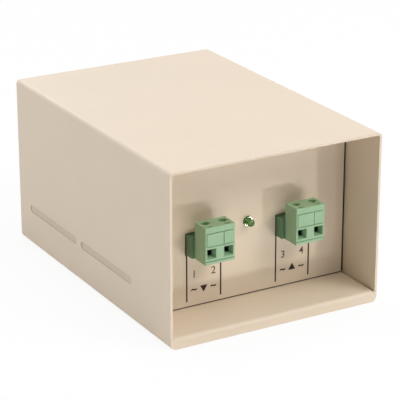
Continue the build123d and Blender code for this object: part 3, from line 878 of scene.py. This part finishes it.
@dataclass
class Lamp:
    """Indicator lamp with the chip carrier that shows through its lens."""

    palette: Palette
    tip_gap: float = 1.9 * MM
    back_gap: float = 0.2 * MM
    post_width: float = 0.5 * MM
    post_pitch: float = 1.1 * MM
    post_rounding: float = 0.06 * MM
    cup_post_start: float = 0.7 * MM
    plain_post_start: float = 0.2 * MM
    cup_sides: int = 24
    cup_radius: float = 0.62 * MM
    cup_length: float = 0.8 * MM
    cup_lean: float = 0.3 * MM
    cup_rim: float = 0.12 * MM
    cup_depth: float = 0.35 * MM
    cup_taper: float = 0.6

    def cup(self, x: float, front: float, z: float) -> bpy.types.Object:
        """Dished cup that holds the chip.

        Args:
            x: Its middle along X.
            front: Its rim along Y.
            z: Its middle along Z.

        Returns:
            The cup's mesh.
        """
        Bench.clear()
        bpy.ops.mesh.primitive_cylinder_add(
            vertices=self.cup_sides, radius=self.cup_radius, depth=self.cup_length,
            rotation=(QUARTER_TURN, 0, 0), location=(x, front + self.cup_length / 2, z),
        )
        cup = bpy.context.object
        bpy.ops.object.transform_apply(location=True, rotation=True, scale=True)
        mesh = Bench.edit(Pick.FACES)
        for face in mesh.faces:
            face.select_set(face.normal.y < -FACING)
        bmesh.update_edit_mesh(cup.data)
        bpy.ops.mesh.inset(thickness=self.cup_rim)
        bpy.ops.mesh.extrude_region_move(
            TRANSFORM_OT_translate={"value": (0, self.cup_depth, 0)}
        )
        bpy.ops.transform.resize(value=(self.cup_taper, 1, self.cup_taper))
        bpy.ops.object.mode_set(mode="OBJECT")
        return cup

    def post(self, x: float, start: float, end: float, z: float) -> bpy.types.Object:
        """Square post that carries the current to the front.

        Args:
            x: Its middle along X.
            start: Its front along Y.
            end: Its back along Y.
            z: Its middle along Z.

        Returns:
            The post's mesh.
        """
        half = self.post_width / 2
        post = Bench.block((x - half, start, z - half), (x + half, end, z + half))
        Bench.round_all(self.post_rounding, segments=1)
        return post

    def build(self) -> None:
        """Dress the lens and the legs, and add the carrier that shows in the lens."""
        low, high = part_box("indicator_led")
        x, z = (low.x + high.x) / 2, (low.z + high.z) / 2
        front, back = low.y + self.tip_gap, high.y - self.back_gap
        left, right = x - self.post_pitch / 2, x + self.post_pitch / 2
        parts = [
            self.cup(left + self.cup_lean, front, z),
            self.post(left, front + self.cup_post_start, back, z),
            self.post(right, front + self.plain_post_start, back, z),
        ]
        self.palette.fit(Bench.join(parts), "led_carrier", "tinned_wire", "tinned_wire")
        self.palette.dress("lamp_green", "indicator_led")
        self.palette.dress("tinned_wire", "led_legs")


@dataclass
class Board:
    """Terminal board with its fasteners, solder joints, fuse and lamp feed."""

    palette: Palette
    pin_joint_radius: float = 1.0 * MM
    leg_joint_radius: float = 0.7 * MM
    joint_height: float = 0.9 * MM
    joint_tip_share: float = 0.35
    joint_sides: int = 20
    joint_rounding: float = 0.12 * MM
    joint_smooth: float = math.radians(50)
    band_sides: int = 40
    band_width: float = 0.6 * MM
    band_paint: float = 0.02 * MM
    band_smooth: float = math.radians(40)
    resistor_bands: tuple[tuple[str, float], ...] = (
        ("band_brown", -0.17), ("band_red", -0.07), ("band_brown", 0.03), ("band_gold", 0.17),
    )
    diode_band_place: float = 0.15

    def joint(self, x: float, z: float, radius: float) -> bpy.types.Object:
        """Solder cone on the back of the board.

        Args:
            x: Its middle along X.
            z: Its middle along Z.
            radius: Radius of its foot.

        Returns:
            The joint's mesh.
        """
        _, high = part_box("connector_board")
        Bench.clear()
        bpy.ops.mesh.primitive_cone_add(
            vertices=self.joint_sides, radius1=radius, radius2=radius * self.joint_tip_share,
            depth=self.joint_height, rotation=(-QUARTER_TURN, 0, 0),
            location=(x, high.y + self.joint_height / 2, z),
        )
        cone = bpy.context.object
        bpy.ops.object.transform_apply(location=True, rotation=True, scale=True)
        Bench.round_all(self.joint_rounding, segments=2)
        bpy.ops.object.shade_smooth_by_angle(angle=self.joint_smooth)
        return cone

    def solder(self) -> bpy.types.Object:
        """Joints of the header pins and the lamp's legs.

        Returns:
            One mesh with all joints.
        """
        radii = {
            "output_pins": self.pin_joint_radius,
            "input_pins": self.pin_joint_radius,
            "led_legs": self.leg_joint_radius,
        }
        joints = []
        for name, radius in radii.items():
            low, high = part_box(name)
            level, inset = (low.z + high.z) / 2, (high.z - low.z) / 2
            joints += [self.joint(x, level, radius) for x in (low.x + inset, high.x - inset)]
        return Bench.join(joints)

    def ring(self, node: str, place: float) -> bpy.types.Object:
        """Thin painted ring round a resistor or a diode.

        Args:
            node: The part that wears it.
            place: Its middle along the body, from -0.5 to 0.5 of the part's span.

        Returns:
            The ring's mesh.
        """
        low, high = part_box(node)
        radius = (high.z - low.z) / 2 + self.band_paint
        x = (low.x + high.x) / 2 + place * (high.x - low.x)
        y = high.y - radius + self.band_paint
        Bench.clear()
        bpy.ops.mesh.primitive_cylinder_add(
            vertices=self.band_sides, radius=radius, depth=self.band_width,
            rotation=(0, QUARTER_TURN, 0), location=(x, y, (low.z + high.z) / 2),
        )
        band = bpy.context.object
        bpy.ops.object.transform_apply(location=True, rotation=True, scale=True)
        bpy.ops.object.shade_smooth_by_angle(angle=self.band_smooth)
        return band

    def build(self) -> None:
        """Add solder and colour bands, and dress the board's pieces."""
        self.palette.fit(self.solder(), "board_solder", "solder", "tinned_wire")
        for index, (finish, place) in enumerate(self.resistor_bands, start=1):
            ring = self.ring("led_resistor", place)
            self.palette.fit(ring, f"resistor_band_{index}", finish, "resistor_body")
        ring = self.ring("led_diode", self.diode_band_place)
        self.palette.fit(ring, "diode_band", "band_grey", "diode_body")
        self.palette.dress("zinc_stud", "panel_studs")
        self.palette.dress("zinc_plate", "board_nuts", "fuse_clips")
        self.palette.dress("spacer_nylon", "board_spacers")
        self.palette.dress("board_laminate", "connector_board")
        self.palette.dress("resistor_body", "led_resistor")
        self.palette.dress("diode_body", "led_diode")
        self.palette.dress("fuse_glass", "fuse_tube")
        self.palette.dress("fuse_cap", "fuse_caps")
        self.palette.dress("tinned_wire", "fuse_element")


@dataclass
class Transformer:
    """Core, bobbin, windings, strap and leads."""

    palette: Palette

    def dress(self) -> None:
        """Give the transformer's pieces their finishes."""
        self.palette.dress("core_plates", "core_legs", "core_yoke")
        self.palette.dress("bobbin_plastic", "bobbin")
        self.palette.dress("primary_wire", "primary_winding")
        self.palette.dress("secondary_wire", "secondary_winding")
        self.palette.dress("tinned_wire", "bobbin_pins")
        self.palette.dress("zinc_plate", "core_strap")
        self.palette.dress("lead_yellow", "secondary_leads")
        self.palette.dress("lead_black", "primary_leads")


def direction(azimuth: float, elevation: float) -> Vector:
    """Unit vector from the object towards a place in the studio.

    Args:
        azimuth: Degrees round from the front, positive to the right.
        elevation: Degrees above the floor.

    Returns:
        The unit vector.
    """
    turn, lift = math.radians(azimuth), math.radians(elevation)
    return Vector(
        (math.sin(turn) * math.cos(lift), -math.cos(turn) * math.cos(lift), math.sin(lift))
    )


@dataclass(frozen=True)
class SoftLamp:
    """Round soft lamp that looks at the object and isn't seen by the camera."""

    name: str
    azimuth: float
    elevation: float
    size: float
    power: float
    tint: Colour = (1.0, 1.0, 1.0)
    distance: float = 1.3

    def hang(self, aim: Vector) -> None:
        """Hang the lamp.

        Args:
            aim: Point that the lamp looks at.
        """
        data = bpy.data.lights.new(self.name, "AREA")
        data.shape, data.size = "DISK", self.size
        data.energy, data.color = self.power, self.tint
        away = direction(self.azimuth, self.elevation)
        lamp = bpy.data.objects.new(self.name, data)
        lamp.location = aim + away * self.distance
        lamp.rotation_euler = away.to_track_quat("Z", "Y").to_euler()
        lamp.visible_camera = False
        bpy.context.scene.collection.objects.link(lamp)
        log.info("lamp %s is hung", self.name)


@dataclass
class Studio:
    """Pale floor, white surroundings, soft lamps and the camera."""

    azimuth: float = -29.751
    elevation: float = 20.780
    roll: float = -0.045
    distance: float = 797.85 * MM
    aim_right: float = 3.43 * MM
    aim_up: float = 28.50 * MM
    lens: float = 170.2
    sensor: float = 36.0
    clip: tuple[float, float] = (0.01, 50.0)
    floor_size: float = 8.0
    floor_patch: float = 0.4
    floor_tones: tuple[Colour, Colour] = ((0.88, 0.88, 0.88), (0.90, 0.90, 0.90))
    floor_roughness: float = 0.8
    floor_gloss: float = 0.1
    floor_white: float = 0.9
    ambient: float = 0.10
    horizon: float = 0.03
    lamp_aim: Point = (0.0, -55 * MM, 35 * MM)
    lamps: tuple[SoftLamp, ...] = (
        SoftLamp("overhead", 0.0, 89.0, 1.2, 10.4, (0.92, 0.97, 1.04)),
        SoftLamp("high_front", 0.0, 50.0, 0.6, 1.9),
        SoftLamp("high_right", 35.0, 42.0, 0.5, 5.4, (1.05, 1.0, 0.93)),
        SoftLamp("far_right", 55.0, 40.0, 0.5, 1.8),
        SoftLamp("low_right", 32.0, -22.0, 0.08, 1.9, (1.05, 1.0, 0.93)),
        SoftLamp("low_front", 13.0, -22.0, 0.08, 1.0, (1.05, 1.0, 0.93)),
        SoftLamp("left_side", -120.0, 15.0, 0.8, 5.0, (1.02, 1.0, 0.96)),
        SoftLamp("right_side", 110.0, 15.0, 0.8, 4.0),
        SoftLamp("behind", 180.0, 20.0, 0.8, 4.0),
    )

    def floor(self) -> None:
        """Wide pale floor that keeps a soft shadow and nearly blends into the surroundings.

        It casts no shadow itself, so that the two low lamps can stand for light that a bright
        table top throws back up into the hood.
        """
        Bench.clear()
        bpy.ops.mesh.primitive_plane_add(size=self.floor_size, location=(0, 0, 0))
        plane = bpy.context.object
        plane.name = "studio_floor"
        graph = Graph("studio_floor")
        graph.surface(Roughness=self.floor_roughness, Specular_IOR_Level=self.floor_gloss)
        graph.paint(graph.noise(self.floor_patch), *self.floor_tones)
        path = graph.node("ShaderNodeLightPath")
        seen = graph.node("ShaderNodeMath", operation="MULTIPLY")
        seen.inputs[1].default_value = self.floor_white
        graph.join(path.outputs["Is Camera Ray"], seen.inputs[0])
        white = graph.node("ShaderNodeEmission")
        white.inputs["Strength"].default_value = 1.0
        mix = graph.node("ShaderNodeMixShader")
        graph.join(seen.outputs[0], mix.inputs[0])
        graph.join(graph.shader.outputs[0], mix.inputs[1])
        graph.join(white.outputs[0], mix.inputs[2])
        graph.join(mix.outputs[0], graph.nodes["Material Output"].inputs["Surface"])
        plane.data.materials.append(graph.material)
        plane.visible_shadow = False

    def surroundings(self) -> None:
        """White world for the camera and for reflections, and a soft sky that lights the object."""
        world = bpy.data.worlds.new("surroundings")
        bpy.context.scene.world = world
        world.use_nodes = True
        nodes, links = world.node_tree.nodes, world.node_tree.links
        nodes.clear()
        path = nodes.new("ShaderNodeLightPath")
        seen = path.outputs["Is Camera Ray"]
        for ray in ("Is Glossy Ray", "Is Transmission Ray"):
            either = nodes.new("ShaderNodeMath")
            either.operation = "MAXIMUM"
            links.new(seen, either.inputs[0])
            links.new(path.outputs[ray], either.inputs[1])
            seen = either.outputs[0]
        where = nodes.new("ShaderNodeTexCoord")
        split = nodes.new("ShaderNodeSeparateXYZ")
        links.new(where.outputs["Generated"], split.inputs[0])
        above = nodes.new("ShaderNodeMapRange")
        above.inputs["From Min"].default_value = -self.horizon
        above.inputs["From Max"].default_value = self.horizon
        above.inputs["To Max"].default_value = self.ambient
        links.new(split.outputs["Z"], above.inputs["Value"])
        sky = nodes.new("ShaderNodeBackground")
        links.new(above.outputs[0], sky.inputs["Strength"])
        white = nodes.new("ShaderNodeBackground")
        mix = nodes.new("ShaderNodeMixShader")
        out = nodes.new("ShaderNodeOutputWorld")
        links.new(seen, mix.inputs[0])
        links.new(sky.outputs[0], mix.inputs[1])
        links.new(white.outputs[0], mix.inputs[2])
        links.new(mix.outputs[0], out.inputs["Surface"])

    def camera(self) -> None:
        """Camera at the photograph's viewing angle, with its lens."""
        back = direction(self.azimuth, self.elevation)
        right = Vector((0, 0, 1)).cross(back).normalized()
        up = back.cross(right)
        tilt = math.radians(self.roll)
        right, up = (
            right * math.cos(tilt) + up * math.sin(tilt),
            up * math.cos(tilt) - right * math.sin(tilt),
        )
        data = bpy.data.cameras.new("camera")
        data.lens, data.sensor_width = self.lens, self.sensor
        data.clip_start, data.clip_end = self.clip
        camera = bpy.data.objects.new("camera", data)
        turned = Matrix((right, up, back)).transposed().to_4x4()
        turned.translation = right * self.aim_right + up * self.aim_up + back * self.distance
        camera.matrix_world = turned
        bpy.context.scene.collection.objects.link(camera)
        bpy.context.scene.camera = camera

    def build(self) -> None:
        """Set up the whole studio."""
        self.floor()
        self.surroundings()
        for lamp in self.lamps:
            lamp.hang(Vector(self.lamp_aim))
        self.camera()
        bpy.context.scene.view_settings.view_transform = "Standard"


def main() -> None:
    """Build the looks of every piece in order, then the studio."""
    logging.basicConfig(level=logging.INFO, format="%(name)s: %(message)s")
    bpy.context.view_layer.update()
    palette = Palette()
    Case(palette).build()
    for name in ("output", "input"):
        Terminal(palette, name).dress()
    PanelPrint(palette, "output", ("1", "2"), Flow.OUT, -27.4 * MM, -11.95 * MM).build()
    PanelPrint(palette, "input", ("3", "4"), Flow.IN, 13.7 * MM, 29.35 * MM).build()
    Lamp(palette).build()
    Board(palette).build()
    Transformer(palette).dress()
    Studio().build()
    log.info("all pieces are in place")


if __name__ == "__main__":
    main()
